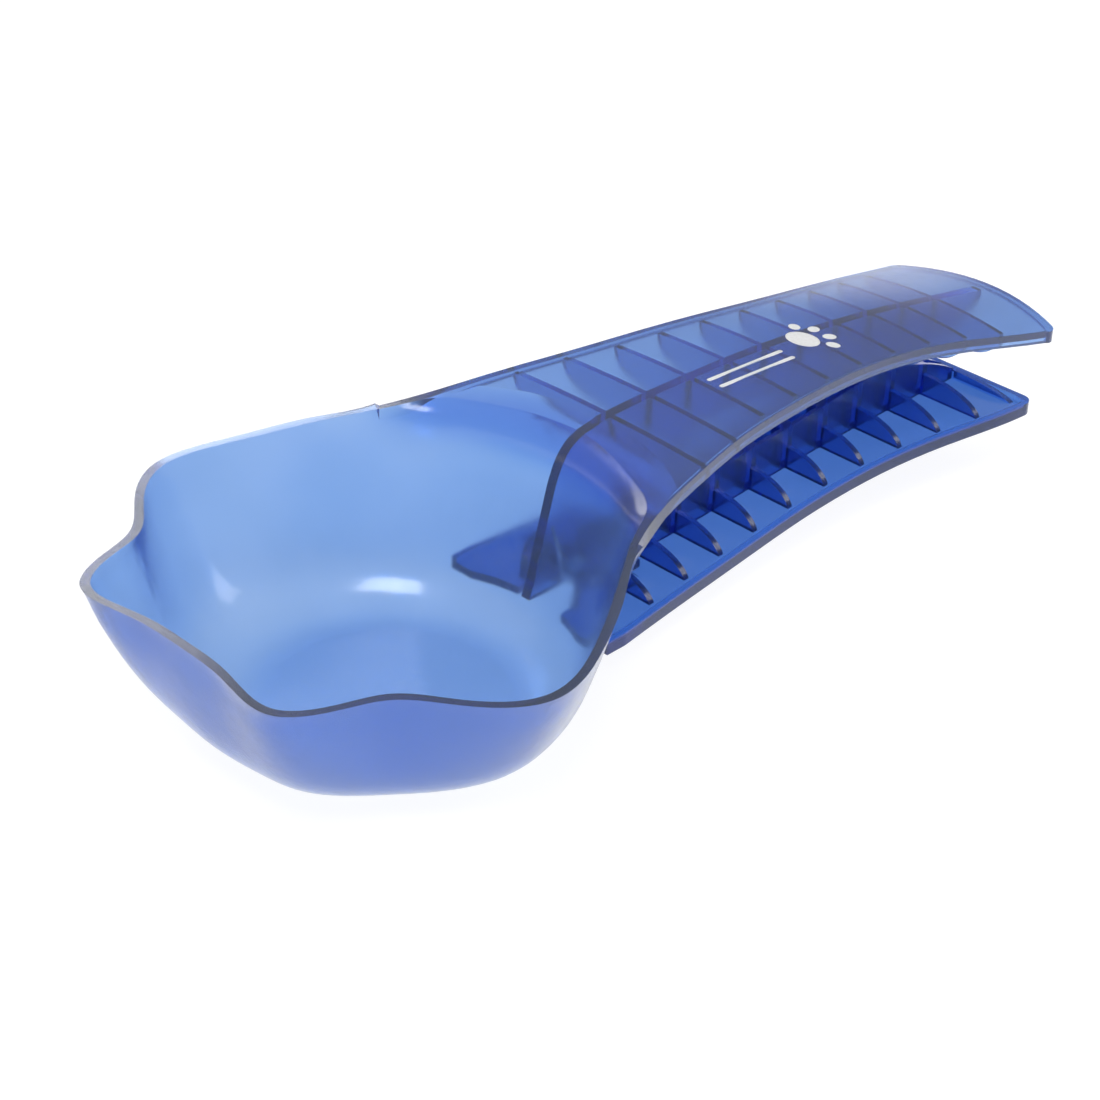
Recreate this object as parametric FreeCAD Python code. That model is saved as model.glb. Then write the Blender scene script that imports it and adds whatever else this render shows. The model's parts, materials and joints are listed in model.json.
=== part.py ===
import FreeCAD, Part
import math
import os

# Plastic feed scoop whose handle is a bag clip, in millimetres. +X runs from the scalloped lip to the tail
# of the handle, +Y is across, +Z is up. The origin is under the middle of the length, on the plane the bowl
# stands on. Stations along the length ("s") are measured from the hollow in the middle of the lip, so
# x = s - ORIGIN_S.

# Driving dimensions
LENGTH = 235.0                  # from the middle of the lip to the end of the handle
ORIGIN_S = 117.0                # the lobes beside the middle of the lip reach 1 mm further forward
WALL = 2.0                      # bowl wall and floor
PLATE = 2.2                     # handle plate
BASE_CENTRE = 50.5              # station of the middle of the bowl's round base
BASE_RADIUS = 35.5              # base outline before its edge is rounded
BASE_ROUND = 11.0
ROUND_STEPS = 5
CAVITY_ROUND = 8.5
BULGE = 4.2                     # how far the front and side walls swell between base and rim
SWELL_SKEW = 0.8                # below 1, the swell is fullest under the middle of the wall
WALL_HEIGHTS = (17, 23, 29, 34, 37, 39, 41, 42.5, 44, 46)      # outlines above the rounded base edge
CREST_ROUND = 4.5               # edge between the handle's top and the bowl's back wall
ROOT_ROUND = 9.5                # the same corner on the underside
FLARE_FADE = (0.6, 0.8)         # cosines of the angles from the axis between which both rounds fade in

# Rim outline, half of it, from the middle of the back wall round to the middle of the lip: (station, y)
RIM = [(97.2, 0), (96, 11), (92.7, 22), (87.6, 31), (79.5, 38), (67, 46.2), (55, 53), (39, 57), (27, 48.5),
       (18, 38), (8.5, 34.2), (0, 28.4), (0.6, 13), (1.2, 0)]

# Height of the rim and of the handle's crown along the centre line: (station, z)
CROWN = [(-24, 35), (0, 34), (20, 34), (40, 34.2), (60, 36.6), (79, 40.6), (95, 43), (109, 44.2), (132, 44.8),
         (155, 44.3), (175, 42.8), (192, 40.9), (215, 37.4), (240, 33.8)]
CROWN_STATIONS = [-24, -8, 8, 26, 42, 58, 74, 86, 98, 110, 124, 140, 156, 172, 188, 204, 218, 229, 240]
CROWN_ACROSS = [-84, -40, -20, 0, 20, 40, 84]
# How much lower the plate is 25 mm to the side of the centre line: (station, drop)
ARCH = [(0, 0), (75, 0), (105, 0.6), (143, 1.2), (178, 1.9), (211, 2.6), (240, 3.2)]
ARCH_REACH = 25.0

# Handle plate: (station, half width), then a bowed end with rounded corners
HANDLE_EDGE = [(74, 40.6), (80, 37.0), (89, 33.2), (105, 28.9), (121, 25.2), (143, 22), (161, 20.1),
               (178, 19.3), (195, 20), (211, 21.7), (227, 23.3)]
TAIL_CORNER = 231.0             # station where the rounded corner meets the bowed end
TAIL_CORNER_IN = 1.6            # that point lies this far inside the plate's side
TAIL_CORNER_BOW = (1.0, 0.35)   # middle of the corner: before that station, inside the side
LIP_WIDTH = 1.5                 # rolled-down edge of the plate
LIP_DEPTH = 2.9
LIP_START = 85.2                # the bowl's own wall takes over before here

# Ribs and web under the handle
PITCH = 11.7
RIB_COUNT = 10
FIRST_RIB = 109.0
RIB_THICK = 1.4
RIB_DEPTH = 7.8
RIB_SQUARENESS = 0.7
RIB_END_GAP = 2.6               # from the rounded rib end to the plate's edge
FULL_WIDTH_RIBS = 2
BOW_STEPS = 8                   # points on the rounded edge of a rib or fin, less one
WEB_THICK = 2.4
WEB_TOP_STATIONS = (96, 112, 132, 152, 172, 192, 212, 231)
WEB_FOOT = [(92, 19.4), (104, 19.6), (114, 19.9), (121, 21), (127, 25), (133, 29.6), (142, 31.6), (152, 31.6),
            (164, 30), (178, 27.3), (190, 25.95), (200, 25.55), (206, 24.9), (214, 24.6), (222, 26.4),
            (231, 30.5)]

# Clip arm
ARM_LENGTH_END = 226.0
ARM_EDGE = [(93, 22.8), (105, 21.2), (117, 19.8), (129, 18.6), (141, 17.6), (153, 17), (165, 17),
            (177, 17.5), (188, 18.5), (199, 20), (211, 22), (223, 23.2)]
ARM_CORNER = 3.0
ARM_STOCK_START = 70.0          # the outline is drawn from here and the heel is cut out of it
HEEL_LIMIT = 88.0
HEEL_CENTRE = 50.0              # the heel follows the bowl's back wall
HEEL_RADIUS = 41.5
ARM_UNDERSIDE = [(70, 4.6), (92, 5.6), (115, 6.5), (139, 8), (160, 10), (180, 11.6), (200, 12.5), (230, 13)]
ARM_FLOOR = 1.9
ARM_RIM_WIDTH = 1.5
ARM_RIM_RISE = 1.1
RIDGE = [(106.5, 18.6), (125, 19.4), (142, 20.4), (163, 22.1), (173, 23.2), (182, 24.5), (192, 25.4),
         (199, 25.2), (206, 23.6), (219, 19.0), (225, 15.6)]
BEAM_FOOT_STATIONS = (106.5, 130, 155, 180, 205, 225)
FIRST_CELL = 108.0              # the beam is solid before here
BEAM_HALF = 2.5
BEAM_WALL = 1.1
BAR_LENGTH = 3.4
FIRST_FIN = 105.5
FIN_COUNT = 11
FIN_THICK = 1.4
FIN_HEIGHT = 5.2
FIN_END_GAP = 3.0

# Hinge
HINGE_S = 98.5
HINGE_Z = 12.5
PIN_RADIUS = 1.5
RUNNING_GAP = 0.05
LUG_RADIUS = 4.3
LUG_LEFT = 5.0                  # the lug fills from the web's right face to here
EAR_THICK = 2.4
# Side view of an ear's foot from the hinge axis: front, back, and the ends on the arm's floor
EAR_BACK = (3.87, 1.8)
EAR_TOE = (12.0, 0.4)
EAR_HEEL = 0.6
SIDE_GAP = 0.4                  # between an ear and what is beside it
SPRING_SPACE = 7.2
EAR_RIGHT_IN = WEB_THICK / 2 + SPRING_SPACE
EAR_LEFT_IN = LUG_LEFT + SIDE_GAP
NOTCH_END = 104.6
PIN_SHY = 0.1                   # the pin's ends stay this far inside the ears' outer faces
PIN_CHAMFER = 0.3

# Gusset, side view: (station, z), then the two points on the hinge lug
GUSSET = [(84, 8.3), (90, 42), (107, 43), (104.5, 34), (103.2, 24), (HINGE_S + LUG_RADIUS, HINGE_Z),
          (HINGE_S, HINGE_Z - LUG_RADIUS)]

# Torsion spring
WIRE_RADIUS = 0.45
COIL_RADIUS = 2.5
STATIC_LEAN = 14.0              # degrees that the upright leg leans towards the bowl
COIL_TURNS = 4.25 - STATIC_LEAN / 360
COIL_PITCH = 1.0
SPRING_RIGHT = -7.3
STATIC_LEG = 12.6
MOVING_LEG = 12.0
SEAT_START = 106.6              # tab on the jaw beam that the moving leg pushes up
SEAT_LENGTH = 4.5
SEAT_THICK = 1.8
SEAT_GAP = 0.02                 # between the moving leg and the tab over it
SEAT_OVERHANG = 1.6             # the tab reaches this far past the leg's centre line
LEG_ROOM = 0.9                  # free space round the moving leg, from its centre line
LEG_ROOM_OUT = 1.5              # the same on the side away from the beam's middle

# Larger than the object in height and half width, for cutting
HIGH = 60.0
WIDE = 90.0


def at(s, y, z):
    """Point at station s."""
    return FreeCAD.Vector(s - ORIGIN_S, y, z)


def spline(points, closed=False):
    """Smooth edge through points."""
    curve = Part.BSplineCurve()
    curve.interpolate(Points=points, PeriodicFlag=closed)
    return curve.toShape()


def along(table, s):
    """Value of a smooth (station, value) table at station s."""
    curve = table_curve(table)
    low, high = curve.FirstParameter, curve.LastParameter
    for _ in range(50):
        middle = (low + high) / 2
        if curve.value(middle).x < s:
            low = middle
        else:
            high = middle
    return curve.value((low + high) / 2).y


def table_curve(table):
    """Smooth curve through a (station, value) table."""
    curve = Part.BSplineCurve()
    curve.interpolate([FreeCAD.Vector(a, b, 0) for a, b in table])
    return curve


def prism(edges, direction):
    """Solid swept from the flat outline that the edges close."""
    return Part.Face(Part.Wire(Part.__sortEdges__(edges))).extrude(direction)


def side_band(bottom, top, y_low, y_high):
    """Solid between two (station, z) splines, from y_low to y_high."""
    low = spline([at(s, y_low, z) for s, z in bottom])
    high = spline([at(s, y_low, z) for s, z in top])
    ends = []
    for (s_low, z_low), (s_top, z_top) in ((bottom[0], top[0]), (bottom[-1], top[-1])):
        ends.append(Part.makeLine(at(s_low, y_low, z_low), at(s_top, y_low, z_top)))
    return prism([low, high] + ends, FreeCAD.Vector(0, y_high - y_low, 0))


def box(s_low, s_high, y_low, y_high, z_low, z_high):
    """Plain block between two stations."""
    return Part.makeBox(s_high - s_low, y_high - y_low, z_high - z_low, at(s_low, y_low, z_low))


def crown_z(s, y):
    """Height of the rim and handle surface."""
    s_arch = min(max(s, ARCH[0][0]), ARCH[-1][0])
    for (s0, d0), (s1, d1) in zip(ARCH, ARCH[1:]):
        if s0 <= s_arch <= s1:
            drop = d0 + (d1 - d0) * (s_arch - s0) / (s1 - s0)
            break
    return along(CROWN, s) - drop * (y / ARCH_REACH) ** 2


def crown_surface():
    """The one smooth surface that the rim ends on and the handle's top follows."""
    surface = Part.BSplineSurface()
    surface.interpolate([[at(s, y, crown_z(s, y)) for y in CROWN_ACROSS] for s in CROWN_STATIONS])
    return surface.toShape()


def crest_flare(angle, z, top, radius):
    """How far the back wall has turned outwards at height z, on its way into the handle at height top."""
    weight = min(max((math.cos(angle) - FLARE_FADE[0]) / (FLARE_FADE[1] - FLARE_FADE[0]), 0.0), 1.0)
    turn = min(max((z - top + radius) / radius, 0.0), 1.0)
    return weight * (radius * (1 - math.sqrt(1 - turn * turn)) + max(z - top, 0.0))


def bowl_ring(z, inset, drop, radius):
    """Closed outline of the bowl at height z, moved inwards by inset and flared where it meets the handle."""
    half = []
    for s, y in RIM:
        reach = math.hypot(s - BASE_CENTRE, y)
        angle = math.atan2(y, s - BASE_CENTRE)
        rise = z / along(CROWN, max(s, 0.0))
        swell = BULGE * (1 - math.cos(angle)) / 2 * math.sin(math.pi * min(rise, 1.0) ** SWELL_SKEW)
        flare = crest_flare(angle, z, along(CROWN, s) - drop, radius) if s > BASE_CENTRE else 0.0
        out = BASE_RADIUS + (reach - BASE_RADIUS) * rise + swell - inset + flare
        half.append((BASE_CENTRE + out * math.cos(angle), out * math.sin(angle)))
    ring = half + [(s, -y) for s, y in reversed(half[1:-1])]
    return Part.Wire([spline([at(s, y, z) for s, y in ring], closed=True)])


def bowl_solid(z_base, inset, edge_round, drop, flare_radius):
    """Bowl-shaped block from z_base to above the rim, its bottom edge rounded."""
    rings = []
    for k in range(ROUND_STEPS + 1):
        angle = math.pi / 2 * k / ROUND_STEPS
        z = z_base + edge_round * (1 - math.cos(angle))
        rings.append(bowl_ring(z, inset + edge_round * (1 - math.sin(angle)), drop, flare_radius))
    for z in WALL_HEIGHTS:
        rings.append(bowl_ring(z, inset, drop, flare_radius))
    return Part.makeLoft(rings, True)


def handle_outline(inset):
    """Plan of the handle plate, all round, moved inwards by inset."""
    right = [(s, -(w - inset)) for s, w in HANDLE_EDGE]
    end_y = right[-1][1]
    corner = (TAIL_CORNER - inset, end_y + TAIL_CORNER_IN)
    edges = [
        spline([at(s, y, 0) for s, y in right]),
        spline([at(s, -y, 0) for s, y in right]),
        Part.Arc(at(*corner, 0), at(LENGTH - inset, 0, 0), at(corner[0], -corner[1], 0)).toShape(),
        Part.makeLine(at(right[0][0], right[0][1], 0), at(right[0][0], -right[0][1], 0)),
    ]
    for side in (1, -1):
        start = at(right[-1][0], side * end_y, 0)
        middle = at(corner[0] - TAIL_CORNER_BOW[0], side * (end_y + TAIL_CORNER_BOW[1]), 0)
        edges.append(Part.Arc(start, middle, at(corner[0], side * corner[1], 0)).toShape())
    return prism(edges, FreeCAD.Vector(0, 0, HIGH))


def handle_plate(surface):
    """Arched plate with its rolled-down edge."""
    plate = surface.extrude(FreeCAD.Vector(0, 0, -PLATE)).common(handle_outline(0))
    lip_ring = handle_outline(0).cut(handle_outline(LIP_WIDTH))
    lip = surface.extrude(FreeCAD.Vector(0, 0, -LIP_DEPTH)).common(lip_ring)
    lip = lip.cut(box(0, LIP_START, -WIDE, WIDE, 0, HIGH))
    return plate.fuse(lip)


def crescent(s, y_in, y_out, z_flat, height, thick, squareness):
    """Rounded plate across the length: tall at y_in, nothing at y_out, standing on z_flat. It is a quarter
    of a superellipse: squareness 1 makes an ellipse, less than 1 a fuller corner."""
    bow = []
    for k in range(BOW_STEPS + 1):
        angle = math.pi / 2 * k / BOW_STEPS
        across = math.sin(angle) ** squareness
        up = math.cos(angle) ** squareness if k < BOW_STEPS else 0.0
        bow.append(at(s - thick / 2, y_in + (y_out - y_in) * across, z_flat + height * up))
    foot = at(s - thick / 2, y_in, z_flat)
    edges = [spline(bow), Part.makeLine(bow[-1], foot), Part.makeLine(foot, bow[0])]
    return prism(edges, FreeCAD.Vector(thick, 0, 0))


def handle_ribs():
    """Cross ribs under the plate; the first ones run out to the edge."""
    ribs = []
    for k in range(RIB_COUNT):
        s = FIRST_RIB + k * PITCH
        gap = LIP_WIDTH / 2 if k < FULL_WIDTH_RIBS else RIB_END_GAP
        half = along(HANDLE_EDGE, s) - gap
        z_flat = crown_z(s, half) - PLATE / 2
        depth = crown_z(s, 0) - PLATE - z_flat - RIB_DEPTH
        for side in (1, -1):
            ribs.append(crescent(s, 0, side * half, z_flat, depth, RIB_THICK, RIB_SQUARENESS))
        fill = crown_z(s, 0) - PLATE / 2 - z_flat
        for side in (1, -1):
            ribs.append(crescent(s, 0, side * half, z_flat, fill, RIB_THICK, 1.0))
    return ribs


def handle_web():
    """Lengthwise web under the plate; its foot is the upper jaw."""
    top = [(s, along(CROWN, s) - PLATE / 2) for s in WEB_TOP_STATIONS]
    return side_band(WEB_FOOT, top, -WEB_THICK / 2, WEB_THICK / 2)


def gusset():
    """Plate between back wall and hinge lug, in line with the web."""
    points = [at(s, -WEB_THICK / 2, z) for s, z in GUSSET]
    edges = [Part.makeLine(a, b) for a, b in zip(points, points[1:] + points[:1])]
    return prism(edges, FreeCAD.Vector(0, WEB_THICK, 0))


def across_cylinder(s, z, radius, y_low, y_high):
    """Cylinder along Y, such as the pin or a hinge knuckle."""
    return Part.makeCylinder(radius, y_high - y_low, at(s, y_low, z), FreeCAD.Vector(0, 1, 0))


def scoop_body():
    """Bowl, handle plate, ribs, web, gusset and hinge lug in one moulding."""
    surface = crown_surface()
    air = surface.extrude(FreeCAD.Vector(0, 0, HIGH))
    beside_handle = box(HANDLE_EDGE[1][0], LENGTH, -WIDE, WIDE, 0, HIGH).cut(handle_outline(0))
    bowl = bowl_solid(0.0, 0.0, BASE_ROUND, PLATE, ROOT_ROUND).cut([air, beside_handle])
    lug = across_cylinder(HINGE_S, HINGE_Z, LUG_RADIUS, -WEB_THICK / 2, LUG_LEFT)
    body = bowl.fuse([handle_plate(surface), handle_web(), gusset(), lug] + handle_ribs())
    body = body.cut(bowl_solid(WALL, WALL, CAVITY_ROUND, 0.0, CREST_ROUND))
    return body.cut(across_cylinder(HINGE_S, HINGE_Z, PIN_RADIUS, -WIDE, WIDE)).removeSplitter()


def arm_outline(inset):
    """Plan of the arm: waisted sides, straight tail with rounded corners, heel open towards the bowl."""
    right = [(s, -(w - inset)) for s, w in ARM_EDGE]
    end_s = ARM_LENGTH_END - inset
    end_y = right[-1][1]
    heel = ARM_STOCK_START
    edges = [Part.makeLine(at(heel, -right[0][1], 0), at(heel, right[0][1], 0)),
             Part.makeLine(at(end_s, end_y + ARM_CORNER, 0), at(end_s, -end_y - ARM_CORNER, 0))]
    turn = ARM_CORNER * (1 - math.sqrt(0.5))
    for side in (1, -1):
        edges.append(Part.makeLine(at(heel, side * right[0][1], 0), at(right[0][0], side * right[0][1], 0)))
        edges.append(spline([at(s, side * y, 0) for s, y in right]))
        start = at(right[-1][0], side * end_y, 0)
        middle = at(end_s - turn, side * (end_y + turn), 0)
        edges.append(Part.Arc(start, middle, at(end_s, side * (end_y + ARM_CORNER), 0)).toShape())
    return prism(edges, FreeCAD.Vector(0, 0, HIGH))


def arm_band(rise_low, rise_high, y_low, y_high):
    """Layer that follows the arm's underside."""
    low = [(s, z + rise_low) for s, z in ARM_UNDERSIDE]
    high = [(s, z + rise_high) for s, z in ARM_UNDERSIDE]
    return side_band(low, high, y_low, y_high)


def arm_fins():
    """Quarter-ellipse gussets between the jaw beam and the arm's floor."""
    fins = []
    for k in range(FIN_COUNT):
        s = FIRST_FIN + k * PITCH
        half = along(ARM_EDGE, s) - FIN_END_GAP
        z_flat = along(ARM_UNDERSIDE, s) + ARM_FLOOR / 2
        beam_rise = along(RIDGE, max(s, RIDGE[0][0])) - z_flat
        height = min(FIN_HEIGHT + ARM_FLOOR / 2, beam_rise)
        inner = BEAM_HALF - BEAM_WALL / 2
        for side in (1, -1):
            fins.append(crescent(s, side * inner, side * half, z_flat, height, FIN_THICK, 1.0))
    return fins


def jaw_beam():
    """Two walls joined by cross bars; the bag is held against the bars."""
    floor = [(s, along(ARM_UNDERSIDE, s) + ARM_FLOOR / 2) for s in BEAM_FOOT_STATIONS]
    block = side_band(floor, RIDGE, -BEAM_HALF, BEAM_HALF)
    half = BEAM_HALF - BEAM_WALL
    cells = []
    start = FIRST_FIN + BAR_LENGTH / 2
    for k in range(FIN_COUNT - 1):
        s = start + k * PITCH
        z_low = along(ARM_UNDERSIDE, s + PITCH / 2) + ARM_FLOOR
        cells.append(box(max(s, FIRST_CELL), s + PITCH - BAR_LENGTH, -half, half, z_low, HIGH))
    return block.cut(cells)


def seat_underside():
    """Height of the tab's lower face, just over the moving leg."""
    return HINGE_Z - COIL_RADIUS + WIRE_RADIUS + SEAT_GAP


def spring_seat():
    """Tab on the side of the jaw beam, over the end of the spring's moving leg."""
    low = seat_underside()
    return box(SEAT_START, SEAT_START + SEAT_LENGTH, SPRING_RIGHT - SEAT_OVERHANG,
               -BEAM_HALF + BEAM_WALL / 2, low, low + SEAT_THICK)


def leg_window():
    """Free space for the spring's moving leg, through the first fin and under the tab."""
    floor_top = along(ARM_UNDERSIDE, SEAT_START) + ARM_FLOOR
    return box(NOTCH_END - 1, SEAT_START + SEAT_LENGTH, SPRING_RIGHT - LEG_ROOM_OUT,
               SPRING_RIGHT + LEG_ROOM, floor_top, seat_underside())


def hinge_ears():
    """Two lugs on the arm that hold the pin on either side of the body's lug."""
    ears = []
    for y_in in (-EAR_RIGHT_IN - EAR_THICK, EAR_LEFT_IN):
        y_out = y_in + EAR_THICK
        knuckle = across_cylinder(HINGE_S, HINGE_Z, LUG_RADIUS, y_in, y_out)
        foot_z = along(ARM_UNDERSIDE, HINGE_S) + ARM_FLOOR / 2
        corners = [(HINGE_S - LUG_RADIUS, HINGE_Z), (HINGE_S + EAR_BACK[0], HINGE_Z + EAR_BACK[1]),
                   (HINGE_S + EAR_TOE[0], foot_z + EAR_TOE[1]), (HINGE_S - LUG_RADIUS - EAR_HEEL, foot_z)]
        points = [at(s, y_in, z) for s, z in corners]
        edges = [Part.makeLine(a, b) for a, b in zip(points, points[1:] + points[:1])]
        ears += [knuckle, prism(edges, FreeCAD.Vector(0, y_out - y_in, 0))]
    return ears


def clip_arm():
    """Floor with a raised edge, jaw beam, fins, ears and spring seat in one moulding."""
    plan = arm_outline(0)
    floor = arm_band(0, ARM_FLOOR, -WIDE, WIDE).common(plan)
    edge = plan.cut(arm_outline(ARM_RIM_WIDTH))
    rim = arm_band(0, ARM_FLOOR + ARM_RIM_RISE, -WIDE, WIDE).common(edge)
    arm = floor.fuse([rim, jaw_beam(), spring_seat()] + arm_fins() + hinge_ears())
    arm = arm.cut(Part.makeCylinder(HEEL_RADIUS, HIGH, at(HEEL_CENTRE, 0, 0)))
    arm = arm.cut(box(ARM_STOCK_START, HEEL_LIMIT, -WIDE, WIDE, 0, HIGH))
    arm = arm.cut(box(ARM_STOCK_START, NOTCH_END, -EAR_RIGHT_IN, EAR_LEFT_IN, 0, HIGH))
    arm = arm.cut(leg_window())
    arm = arm.cut(across_cylinder(HINGE_S, HINGE_Z, PIN_RADIUS + RUNNING_GAP, -WIDE, WIDE))
    return arm.removeSplitter()


def hinge_pin():
    """Plain pin, its ends just inside the ears' outer faces, edges chamfered."""
    low = -EAR_RIGHT_IN - EAR_THICK + PIN_SHY
    high = EAR_LEFT_IN + EAR_THICK - PIN_SHY
    pin = across_cylinder(HINGE_S, HINGE_Z, PIN_RADIUS, low, high)
    rims = [e for e in pin.Edges if e.BoundBox.YLength < 0.01]
    return pin.makeChamfer(PIN_CHAMFER, rims)


def torsion_spring():
    """Coil round the pin; one leg leans on the back wall, the other lifts the arm by its spring seat."""
    width = COIL_TURNS * COIL_PITCH
    coil = Part.makeHelix(COIL_PITCH, width, COIL_RADIUS)
    coil.rotate(FreeCAD.Vector(0, 0, 0), FreeCAD.Vector(1, 0, 0), -90)
    coil.rotate(FreeCAD.Vector(0, 0, 0), FreeCAD.Vector(0, 1, 0), 90)
    coil.translate(at(HINGE_S, SPRING_RIGHT, HINGE_Z))
    turns = coil.Edges[0]
    start = turns.valueAt(turns.FirstParameter)
    start_way = turns.tangentAt(turns.FirstParameter)
    end = turns.valueAt(turns.LastParameter)
    end_way = turns.tangentAt(turns.LastParameter)
    moving_tip = start - start_way * MOVING_LEG
    static_leg = Part.makeLine(end, end + end_way * STATIC_LEG)
    path = Part.Wire([Part.makeLine(moving_tip, start), turns, static_leg])
    section = Part.Wire([Part.makeCircle(WIRE_RADIUS, moving_tip, start_way)])
    return path.makePipeShell([section], True, False)


def save(name, shape):
    """One STEP file per node, with a line that says what it holds."""
    solids = shape.Solids
    volume = round(shape.Volume / 1000, 2)
    faces = len(shape.Faces)
    print(name, "solids", len(solids), "valid", shape.isValid(), "volume", volume, "cm3", "faces", faces)
    if len(solids) == 1:
        shape = solids[0]
    shape.exportStep(os.path.join("parts", name + ".step"))


def main():
    os.makedirs("parts", exist_ok=True)
    save("scoop_body", scoop_body())
    save("clip_arm", clip_arm())
    save("hinge_pin", hinge_pin())
    save("torsion_spring", torsion_spring())


main()
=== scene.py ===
import json
import math

import bmesh
import bpy
from mathutils import Matrix, Vector
from mathutils.bvhtree import BVHTree


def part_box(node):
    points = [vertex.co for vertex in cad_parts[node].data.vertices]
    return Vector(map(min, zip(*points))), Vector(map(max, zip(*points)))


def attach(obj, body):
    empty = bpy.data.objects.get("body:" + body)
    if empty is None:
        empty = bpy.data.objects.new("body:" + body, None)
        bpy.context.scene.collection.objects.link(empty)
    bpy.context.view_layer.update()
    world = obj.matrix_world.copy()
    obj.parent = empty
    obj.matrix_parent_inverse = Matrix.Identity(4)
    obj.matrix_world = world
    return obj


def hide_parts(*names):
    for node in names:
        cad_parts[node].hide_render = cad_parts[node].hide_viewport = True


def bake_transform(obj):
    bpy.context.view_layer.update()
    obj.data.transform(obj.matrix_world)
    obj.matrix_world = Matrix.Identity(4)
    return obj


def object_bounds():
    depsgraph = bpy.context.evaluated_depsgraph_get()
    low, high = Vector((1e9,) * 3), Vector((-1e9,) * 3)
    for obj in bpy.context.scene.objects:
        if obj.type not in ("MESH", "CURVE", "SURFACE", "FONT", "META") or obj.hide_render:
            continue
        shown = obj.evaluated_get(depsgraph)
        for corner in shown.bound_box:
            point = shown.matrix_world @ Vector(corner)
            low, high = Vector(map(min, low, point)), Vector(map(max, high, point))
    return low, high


# Looks of a translucent plastic feed scoop with a bag-clip handle.
# Metres throughout, in the model's own frame: +X to the tail of the handle, +Y across, +Z up.

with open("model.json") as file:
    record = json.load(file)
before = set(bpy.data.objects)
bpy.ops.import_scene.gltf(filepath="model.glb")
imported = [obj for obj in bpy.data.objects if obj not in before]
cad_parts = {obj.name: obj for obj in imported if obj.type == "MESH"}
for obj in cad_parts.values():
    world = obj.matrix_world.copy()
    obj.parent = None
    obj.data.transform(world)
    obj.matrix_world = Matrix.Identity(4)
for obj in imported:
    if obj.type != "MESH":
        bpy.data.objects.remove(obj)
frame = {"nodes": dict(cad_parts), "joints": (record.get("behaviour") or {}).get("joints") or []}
bounds_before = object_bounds()

EDGE_SPLIT_DEGREES = 32                   # steeper edges than this stay sharp

# Dyed clear plastic. All colours are linear RGB.
DYE_LEFT_PER_MM = (0.66, 0.79, 0.955)     # share of the light that a millimetre lets through
DENSITY_MARGIN = 1.05                     # keeps the absorber's colour above zero in every channel
BODY_SKIN = ((0.48, 0.64, 0.89), (0.54, 0.69, 0.93))    # tint of the surface, between two close shades
ARM_SKIN = ((0.19, 0.35, 0.72), (0.23, 0.39, 0.77))
HAZE_SHARE = 0.10                         # the little that the plastic scatters back
PLASTIC_IOR = 1.49
PLASTIC_ROUGH = (0.16, 0.22)
COAT = 0.12
COAT_ROUGH = 0.04
FLOW_MARKS = (38.0, 3.0)                  # scale and detail of a noise, here and below
SCUFFS = (420.0, 4.0)
MOULD_GRAIN = (240.0, 2.0)
MOULD_GRAIN_BUMP = (0.03, 0.0001)         # strength and depth of a bump, here and below

# Steel: colour, least and most roughness, scale of the grain
PIN_STEEL = ((0.62, 0.63, 0.65), (0.22, 0.34), 700.0)
SPRING_STEEL = ((0.66, 0.66, 0.68), (0.16, 0.26), 900.0)
STEEL_DARK_SHARE = 0.9                    # the darker shade, as a share of the colour
STEEL_BUMP = (0.1, 0.00005)

# Noise values between which one shade turns into the other
EVEN_SPAN = (0.3, 0.7)
SCUFF_SPAN = (0.3, 0.75)
INK_SPAN = (0.3, 0.6)

# The spring's moving leg leaves the coil at the hinge axis; the wire is cut across from there to its end
LEG_CUT = 0.0004                          # spacing of the cuts across the straight leg
SAME_POINT = 1e-6                         # points closer than this are joined

# Print on the handle: a paw and two rules, in plain white ink. Places are from the tail and from the middle.
INK = (0.93, 0.94, 0.95)
INK_THIN = 0.86                           # grey of the ink where it is thinnest
INK_GRAIN = (1500.0, 3.0)
INK_ROUGH = 0.45
INK_THICK = 0.00005
INK_LAYER_SHARE = 0.8                     # share of the thickness that the layer fills, clear of the plastic
PAW_FROM_TAIL = 0.0705
PAW_ACROSS = -0.0035
PAW_PAD = (0.0040, 0.0034)                # half sizes of the pad
PAW_TOE = (0.0016, 0.0013)
PAW_TOE_REACH = 0.0066
PAW_TOE_ANGLES = (-57, -20, 20, 57)       # degrees from the paw's forward direction
RULE_WIDTH = 0.0011
RULE_FROM_TAIL = (0.1015, 0.0795)         # start and end
RULES_ACROSS = (-0.0085, -0.0050)
PATCH_RINGS = 6
OVAL_STEPS = 40
RULE_END_STEPS = 12
ABOVE_HANDLE = 0.2                        # height from which the handle's top is looked for

# Camera: direction from the object, roll and lens
CAMERA_AZIMUTH = -44.92
CAMERA_ELEVATION = 30.72
CAMERA_ROLL = 1.857
CAMERA_DISTANCE = 0.51355
CAMERA_LENS = 82.74
CAMERA_SENSOR = 36.0
CAMERA_CLIP = (0.01, 20.0)
CAMERA_TARGET = Vector((-0.02328, 0.0, 0.01737))

# Surroundings: pale round the sides, darker overhead so that gloss stays deep
HORIZON = 0.95
CEILING = 0.32
SKY_SPAN = (0.10, 0.20)                   # sines of the elevations between which one turns into the other

# The floor is a light table, as under a product picture
STAGE_WHITE = (0.25, 0.25, 0.25)
STAGE_GLOW = 0.90
STAGE_ROUGH = 0.9
STAGE_REACH = 3.0
STAGE_GAP = 0.0002                        # below the object's lowest point

LAMP_SIZE = 0.5
LAMPS = [                                 # name, place, target, power in watts
    ("key", (-0.5, -0.35, 1.1), (0, 0, 0), 7.0),
    ("fill", (0.9, -0.7, 0.8), (0, 0, 0.02), 2.5),
    ("back", (0.3, 1.0, 0.7), (0, 0, 0.02), 3.0),
]


def rgba(colour):
    """Opaque colour."""
    return tuple(colour) + (1.0,)


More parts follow.
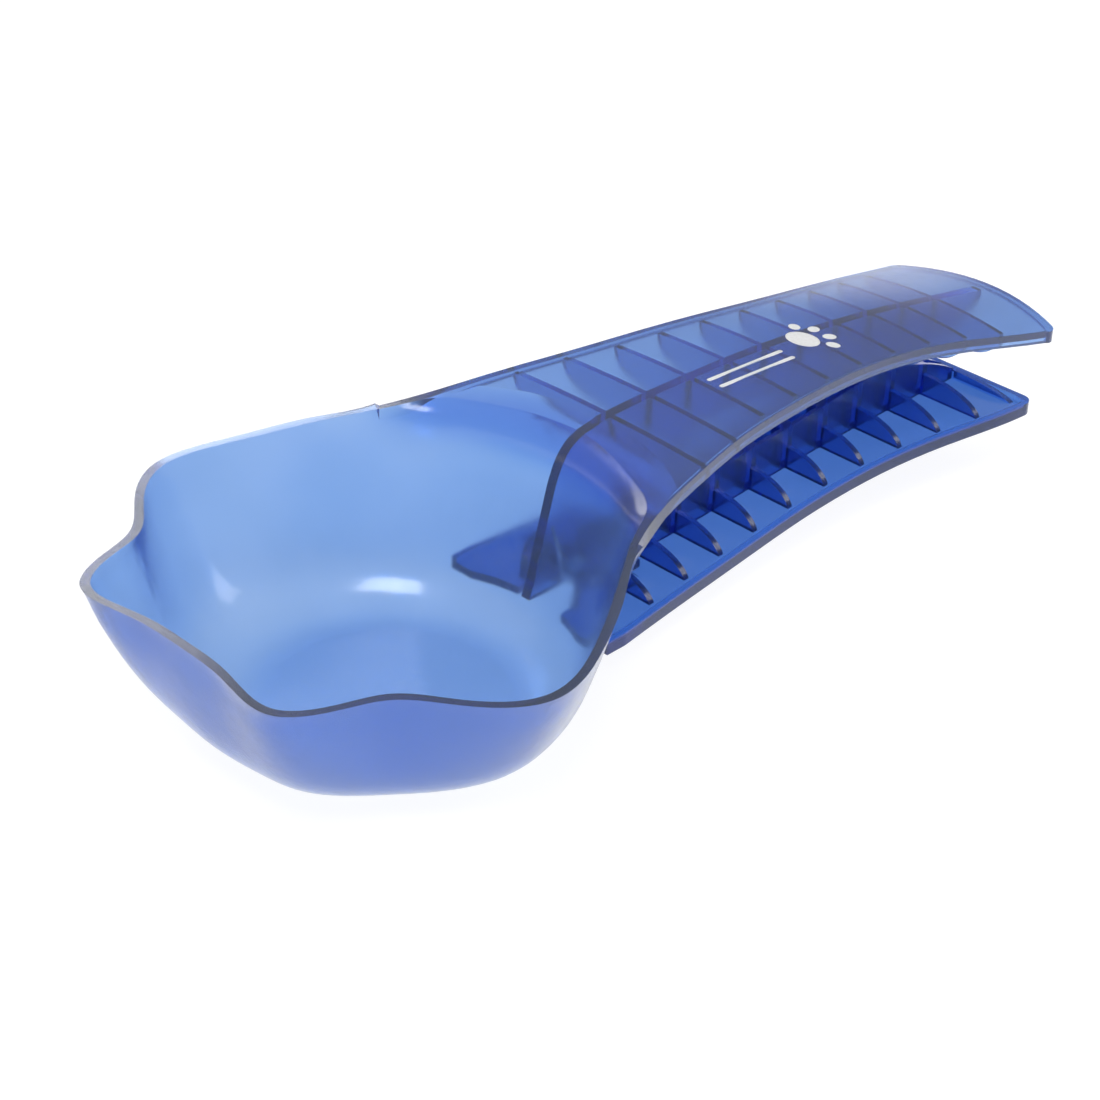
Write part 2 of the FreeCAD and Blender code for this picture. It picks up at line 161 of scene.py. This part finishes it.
def grey(value):
    """Opaque grey."""
    return rgba((value, value, value))


def link_new(name, data):
    """New object in the scene."""
    made = bpy.data.objects.new(name, data)
    bpy.context.scene.collection.objects.link(made)
    return made


def material(name):
    """Empty node material, its node tree, its Principled shader and its output."""
    made = bpy.data.materials.new(name)
    made.use_nodes = True
    tree = made.node_tree
    tree.nodes.clear()
    shader = tree.nodes.new("ShaderNodeBsdfPrincipled")
    output = tree.nodes.new("ShaderNodeOutputMaterial")
    tree.links.new(shader.outputs["BSDF"], output.inputs["Surface"])
    return made, tree, shader, output


def noise(tree, scale, detail):
    """Value of a noise that is fixed to the object."""
    where = tree.nodes.new("ShaderNodeTexCoord")
    made = tree.nodes.new("ShaderNodeTexNoise")
    made.inputs["Scale"].default_value = scale
    made.inputs["Detail"].default_value = detail
    tree.links.new(where.outputs["Object"], made.inputs["Vector"])
    return made.outputs["Fac"]


def ramp(tree, value, low, high, span):
    """Colour between low and high, as the value goes through the span."""
    made = tree.nodes.new("ShaderNodeValToRGB")
    for stop, position, colour in zip(made.color_ramp.elements, span, (low, high)):
        stop.position = position
        stop.color = colour
    tree.links.new(value, made.inputs["Fac"])
    return made.outputs["Color"]


def bump(tree, shader, height, strength, depth):
    """Fine relief from a value."""
    made = tree.nodes.new("ShaderNodeBump")
    made.inputs["Strength"].default_value = strength
    made.inputs["Distance"].default_value = depth
    tree.links.new(height, made.inputs["Height"])
    tree.links.new(made.outputs["Normal"], shader.inputs["Normal"])


def dye(tree, output):
    """Colour from depth: light is absorbed on its way through, so thick places are darker."""
    lost_per_m = [-math.log(share) * 1000.0 for share in DYE_LEFT_PER_MM]
    density = max(lost_per_m) * DENSITY_MARGIN
    absorber = tree.nodes.new("ShaderNodeVolumeAbsorption")
    absorber.inputs["Density"].default_value = density
    absorber.inputs["Color"].default_value = rgba(1.0 - lost / density for lost in lost_per_m)
    tree.links.new(absorber.outputs["Volume"], output.inputs["Volume"])


def plastic(name, skin):
    """Dyed clear polymer: colour by depth, haze, flow marks, a mould grain and scuffs in the gloss."""
    made, tree, shader, output = material(name)
    dye(tree, output)
    tint = ramp(tree, noise(tree, *FLOW_MARKS), rgba(skin[0]), rgba(skin[1]), EVEN_SPAN)
    tree.links.new(tint, shader.inputs["Base Color"])
    gloss = ramp(tree, noise(tree, *SCUFFS), grey(PLASTIC_ROUGH[0]), grey(PLASTIC_ROUGH[1]), SCUFF_SPAN)
    tree.links.new(gloss, shader.inputs["Roughness"])
    bump(tree, shader, noise(tree, *MOULD_GRAIN), *MOULD_GRAIN_BUMP)
    shader.inputs["IOR"].default_value = PLASTIC_IOR
    shader.inputs["Transmission Weight"].default_value = 1.0 - HAZE_SHARE
    shader.inputs["Coat Weight"].default_value = COAT
    shader.inputs["Coat Roughness"].default_value = COAT_ROUGH
    return made


def metal(name, colour, rough, grain):
    """Drawn or ground steel with a fine grain."""
    made, tree, shader, _ = material(name)
    dark = rgba(c * STEEL_DARK_SHARE for c in colour)
    shade = ramp(tree, noise(tree, grain, 3.0), dark, rgba(colour), EVEN_SPAN)
    tree.links.new(shade, shader.inputs["Base Color"])
    gloss = ramp(tree, noise(tree, grain * 3, 2.0), grey(rough[0]), grey(rough[1]), EVEN_SPAN)
    tree.links.new(gloss, shader.inputs["Roughness"])
    bump(tree, shader, noise(tree, grain * 4, 2.0), *STEEL_BUMP)
    shader.inputs["Metallic"].default_value = 1.0
    return made


def ink():
    """White printing ink, a little uneven."""
    made, tree, shader, _ = material("white_ink")
    shade = ramp(tree, noise(tree, *INK_GRAIN), grey(INK_THIN), rgba(INK), INK_SPAN)
    tree.links.new(shade, shader.inputs["Base Color"])
    shader.inputs["Roughness"].default_value = INK_ROUGH
    return made


def finish_node(name, look):
    """Gives a CAD node its look and smooth shading."""
    piece = frame["nodes"][name]
    piece.data.materials.clear()
    piece.data.materials.append(look)
    piece.data.shade_smooth()
    split = piece.modifiers.new("edges", "EDGE_SPLIT")
    split.split_angle = math.radians(EDGE_SPLIT_DEGREES)


def cut_across(mesh, first, last, step):
    """Cuts the mesh across X at equal steps along a straight stretch and joins doubled points."""
    work = bmesh.new()
    work.from_mesh(mesh)
    bmesh.ops.remove_doubles(work, verts=work.verts[:], dist=SAME_POINT)
    for k in range(int((last - first) / step) + 1):
        everything = work.verts[:] + work.edges[:] + work.faces[:]
        place = (first + k * step, 0, 0)
        bmesh.ops.bisect_plane(work, geom=everything, plane_co=place, plane_no=(1, 0, 0))
    work.to_mesh(mesh)
    work.free()


def winding_spring(look):
    """The torsion spring: a copy of its wire, cut across from the hinge axis to the wire's end, shown in
    place of the CAD spring.
    """
    mesh = frame["nodes"]["torsion_spring"].data.copy()
    mesh.name = "torsion_spring_wire"
    mesh.materials.clear()
    mesh.materials.append(look)
    if "custom_normal" in mesh.attributes:
        mesh.attributes.remove(mesh.attributes["custom_normal"])
    hinge = next(j for j in frame["joints"] if j["name"] == "clip_hinge")
    start = Vector(hinge["pos_m"])
    cut_across(mesh, start.x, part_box("torsion_spring")[1].x, LEG_CUT)
    mesh.shade_smooth()
    piece = link_new("torsion_spring_wire", mesh)
    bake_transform(piece)
    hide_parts("torsion_spring")


def oval(centre, half, turn):
    """Outline of an oval, its first half size along the direction turn."""
    points = []
    for k in range(OVAL_STEPS):
        t = 2 * math.pi * k / OVAL_STEPS
        u, v = half[0] * math.cos(t), half[1] * math.sin(t)
        points.append((centre[0] + u * math.cos(turn) - v * math.sin(turn),
                       centre[1] + u * math.sin(turn) + v * math.cos(turn)))
    return points


def round_ended_bar(start, end, width):
    """Outline of a straight bar along X with round ends."""
    points = []
    for centre, first in ((end, -90), (start, 90)):
        for k in range(RULE_END_STEPS + 1):
            t = math.radians(first + 180 * k / RULE_END_STEPS)
            points.append((centre[0] + width / 2 * math.cos(t), centre[1] + width / 2 * math.sin(t)))
    return points


def print_patch(name, outline, centre, look, handle):
    """Thin layer of ink inside the outline, in rings round its centre, on the handle's curved top."""
    def on_top(x, y):
        hit = handle.ray_cast(Vector((x, y, ABOVE_HANDLE)), Vector((0, 0, -1)))[0]
        return (x, y, hit.z + INK_THICK)

    work = bmesh.new()
    middle = work.verts.new(on_top(*centre))
    inner = None
    for k in range(1, PATCH_RINGS + 1):
        share = k / PATCH_RINGS
        ring = []
        for x, y in outline:
            place = (centre[0] + (x - centre[0]) * share, centre[1] + (y - centre[1]) * share)
            ring.append(work.verts.new(on_top(*place)))
        for i, here in enumerate(ring):
            j = (i + 1) % len(ring)
            if inner is None:
                work.faces.new((middle, here, ring[j]))
            else:
                work.faces.new((inner[i], here, ring[j], inner[j]))
        inner = ring
    mesh = bpy.data.meshes.new(name)
    work.to_mesh(mesh)
    work.free()
    piece = link_new(name, mesh)
    mesh.materials.append(look)
    mesh.shade_smooth()
    layer = piece.modifiers.new("layer", "SOLIDIFY")
    layer.thickness = INK_THICK * INK_LAYER_SHARE
    layer.offset = -1.0
    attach(piece, "scoop")


def handle_print():
    """A paw and two rules in white ink."""
    look = ink()
    body = frame["nodes"]["scoop_body"].data
    handle = BVHTree.FromPolygons([v.co for v in body.vertices], [p.vertices for p in body.polygons])
    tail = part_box("scoop_body")[1].x
    paw = (tail - PAW_FROM_TAIL, PAW_ACROSS)
    print_patch("print_paw_pad", oval(paw, PAW_PAD, math.pi / 2), paw, look, handle)
    for k, degrees in enumerate(PAW_TOE_ANGLES):
        turn = math.radians(degrees)
        toe = (paw[0] + PAW_TOE_REACH * math.cos(turn), paw[1] + PAW_TOE_REACH * math.sin(turn))
        print_patch("print_paw_toe_%d" % (k + 1), oval(toe, PAW_TOE, turn), toe, look, handle)
    for k, across in enumerate(RULES_ACROSS):
        start, end = [(tail - distance, across) for distance in RULE_FROM_TAIL]
        middle = ((start[0] + end[0]) / 2, across)
        print_patch("print_rule_%d" % (k + 1), round_ended_bar(start, end, RULE_WIDTH), middle, look, handle)


def camera():
    """Camera at the usual three-quarter view from the bowl's side."""
    azimuth = math.radians(CAMERA_AZIMUTH)
    elevation = math.radians(CAMERA_ELEVATION)
    back = Vector((math.sin(azimuth) * math.cos(elevation), -math.cos(azimuth) * math.cos(elevation),
                   math.sin(elevation)))
    data = bpy.data.cameras.new("camera")
    data.lens = CAMERA_LENS
    data.sensor_width = CAMERA_SENSOR
    data.clip_start, data.clip_end = CAMERA_CLIP
    made = link_new("camera", data)
    aim = (-back).to_track_quat("-Z", "Y").to_matrix().to_4x4()
    roll = Matrix.Rotation(math.radians(CAMERA_ROLL), 4, "Z")
    made.matrix_world = Matrix.Translation(CAMERA_TARGET + back * CAMERA_DISTANCE) @ (aim @ roll)
    bpy.context.scene.camera = made


def sky():
    """Surroundings that go from the pale horizon to the darker ceiling."""
    world = bpy.data.worlds.new("studio")
    world.use_nodes = True
    tree = world.node_tree
    split = tree.nodes.new("ShaderNodeSeparateXYZ")
    where = tree.nodes.new("ShaderNodeTexCoord")
    tree.links.new(where.outputs["Generated"], split.inputs["Vector"])
    colour = ramp(tree, split.outputs["Z"], grey(HORIZON), grey(CEILING), SKY_SPAN)
    tree.links.new(colour, tree.nodes["Background"].inputs["Color"])
    bpy.context.scene.world = world
    bpy.context.scene.view_settings.view_transform = "Standard"


def stage():
    """Glowing pale floor under the object."""
    made, _, shader, _ = material("stage_white")
    shader.inputs["Emission Color"].default_value = grey(1.0)
    shader.inputs["Emission Strength"].default_value = STAGE_GLOW
    shader.inputs["Base Color"].default_value = rgba(STAGE_WHITE)
    shader.inputs["Roughness"].default_value = STAGE_ROUGH
    shader.inputs["Specular IOR Level"].default_value = 0.0
    low = bounds_before[0].z - STAGE_GAP
    corners = [(x * STAGE_REACH, y * STAGE_REACH, low) for x, y in ((-1, -1), (1, -1), (1, 1), (-1, 1))]
    mesh = bpy.data.meshes.new("floor")
    mesh.from_pydata(corners, [], [(0, 1, 2, 3)])
    mesh.materials.append(made)
    floor = link_new("floor", mesh)


def area_light(name, place, target, power):
    """Soft square lamp aimed at a point."""
    data = bpy.data.lights.new(name, "AREA")
    data.shape = "RECTANGLE"
    data.size = LAMP_SIZE
    data.size_y = LAMP_SIZE
    data.energy = power
    made = link_new(name, data)
    made.location = place
    made.rotation_euler = (Vector(target) - Vector(place)).to_track_quat("-Z", "Y").to_euler()


camera()
sky()
stage()
for lamp in LAMPS:
    area_light(*lamp)
finish_node("scoop_body", plastic("blue_plastic", BODY_SKIN))
finish_node("clip_arm", plastic("blue_plastic_arm", ARM_SKIN))
finish_node("hinge_pin", metal("steel", *PIN_STEEL))
winding_spring(metal("spring_steel", *SPRING_STEEL))
handle_print()
